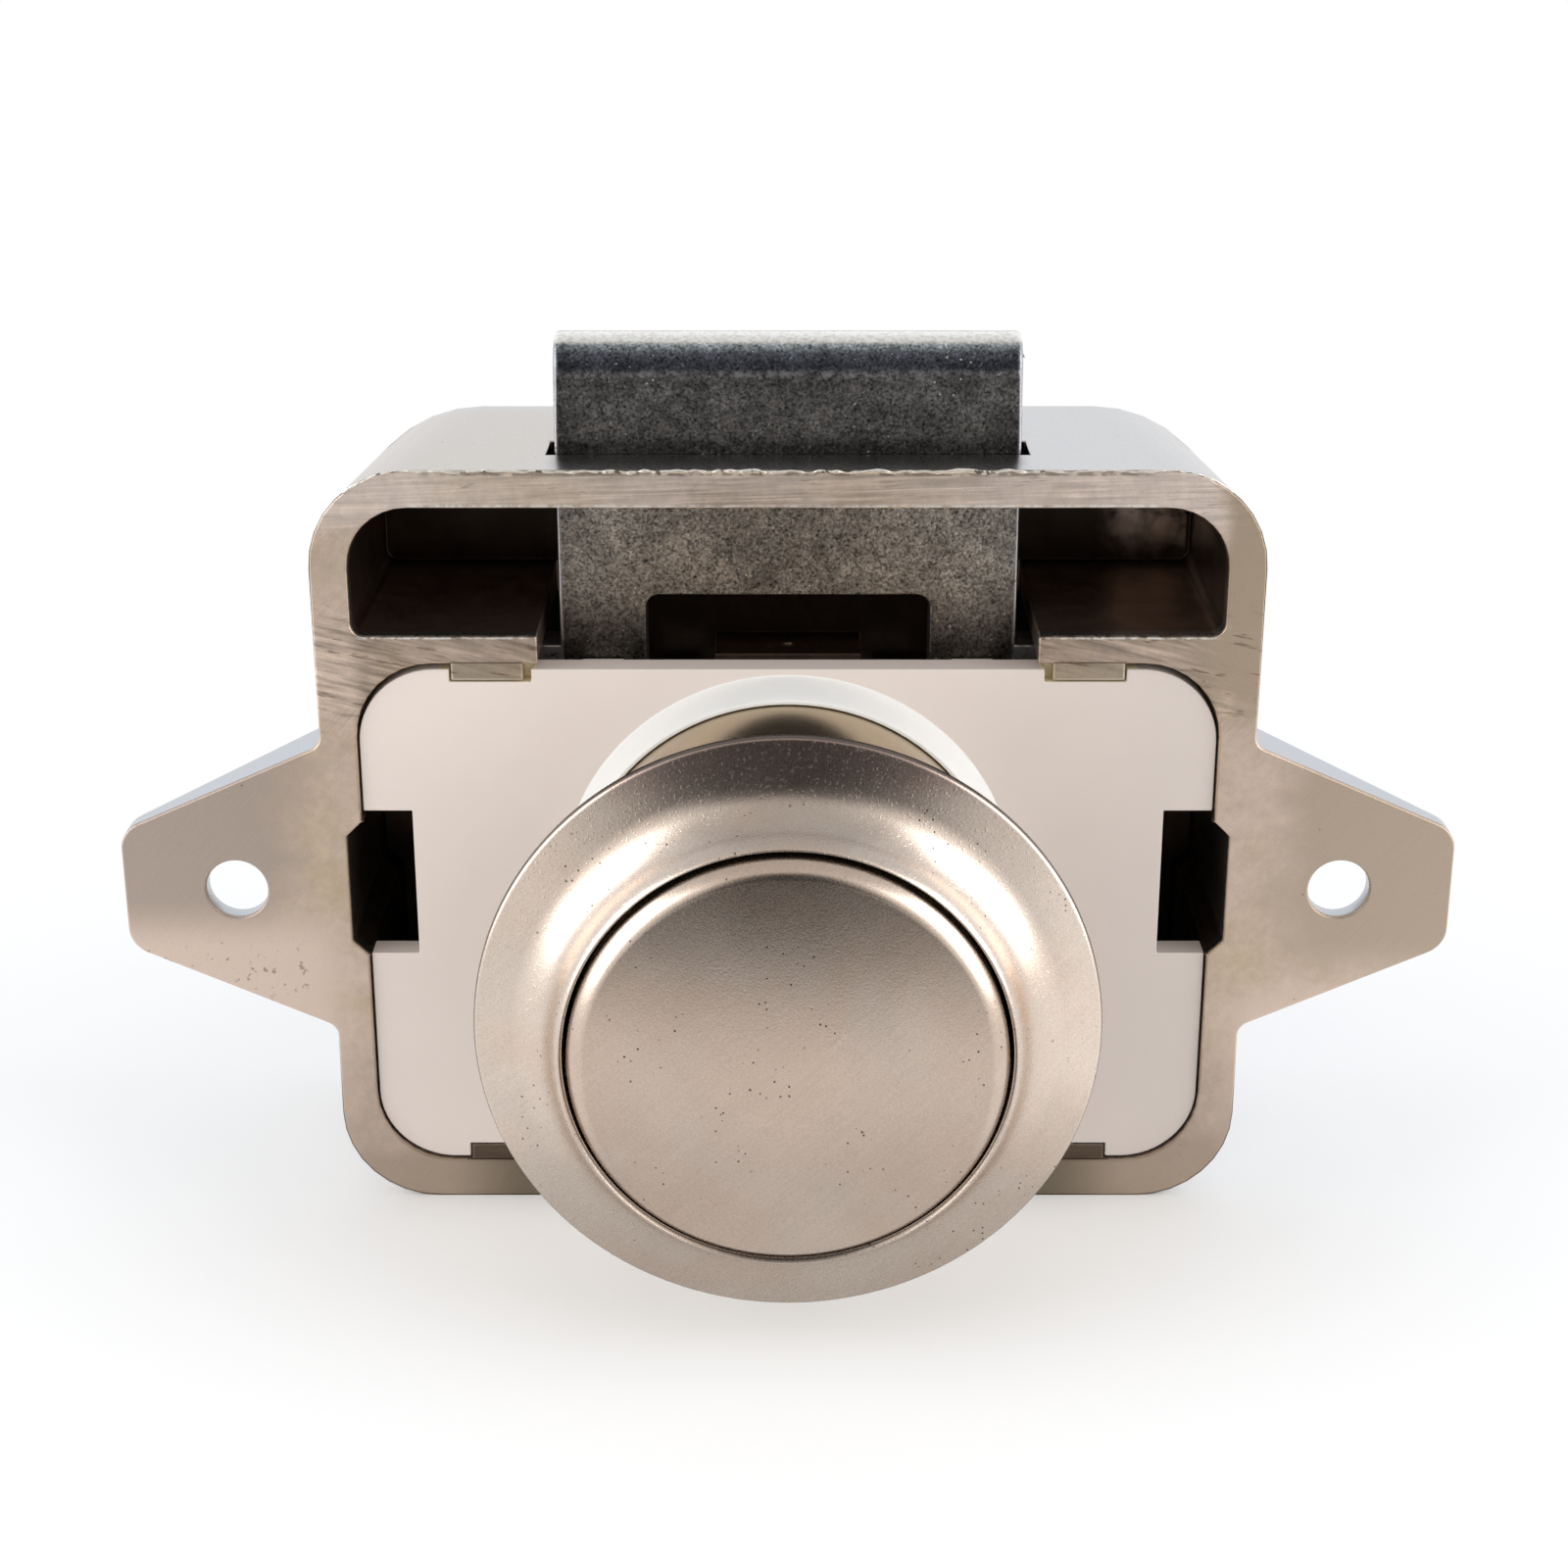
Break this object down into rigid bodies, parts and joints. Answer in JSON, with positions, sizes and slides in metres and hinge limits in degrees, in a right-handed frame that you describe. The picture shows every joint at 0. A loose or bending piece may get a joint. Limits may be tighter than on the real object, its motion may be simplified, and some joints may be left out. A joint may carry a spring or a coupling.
{
  "type": "push button cabinet lock",
  "caption": "Keyless furniture lock: a push button in a round rosette works a spring bolt in a flat eared case behind the door.",
  "frame": {"origin": "where the button's axis meets the plane of the case's rim and ears, which lies on the back of the door", "axes": "+X along the two ears, +Y from the door into the case along the button's axis, +Z the way the bolt points"},
  "size_m": [0.077, 0.0399, 0.0516],
  "materials": {
    "case_nickel": "satin nickel plate on a zinc casting",
    "button_nickel": "satin nickel plate",
    "rosette_nickel": "satin nickel plate",
    "sleeve_nickel": "bright nickel plate on drawn tube",
    "bolt_zinc": "plain zinc casting, fine speckle",
    "plate_plastic": "moulded ivory plastic",
    "plunger_plastic": "moulded white plastic",
    "screw_steel": "zinc plated steel",
    "spring_steel": "drawn spring wire"
  },
  "bodies": {
    "case": {"lock_case": "case_nickel", "mechanism_plate": "plate_plastic", "rosette": "rosette_nickel", "rosette_sleeve": "sleeve_nickel", "button_spring": "spring_steel", "bolt_spring_left": "spring_steel", "bolt_spring_right": "spring_steel", "cam_follower": "spring_steel"},
    "button": {"push_button": "button_nickel", "plunger": "plunger_plastic", "button_screw": "screw_steel", "button_washer": "screw_steel"},
    "bolt": {"bolt": "bolt_zinc"}
  },
  "joints": [
    {"name": "button_slide", "type": "slide", "parent": "case", "child": "button", "axis": [0, -1, 0], "range_m": [0, 0.008], "deforming": ["button_spring", "bolt_spring_left", "bolt_spring_right", "cam_follower"]},
    {"name": "bolt_slide", "type": "slide", "parent": "case", "child": "bolt", "axis": [0, 0, -1], "range_m": [0, 0.0064], "stiffness_N_per_m": 300, "springref_m": -0.01}
  ],
  "couplings": [
    {"joint": "bolt_slide", "follows": "button_slide", "ratio": 0.8}
  ]
}
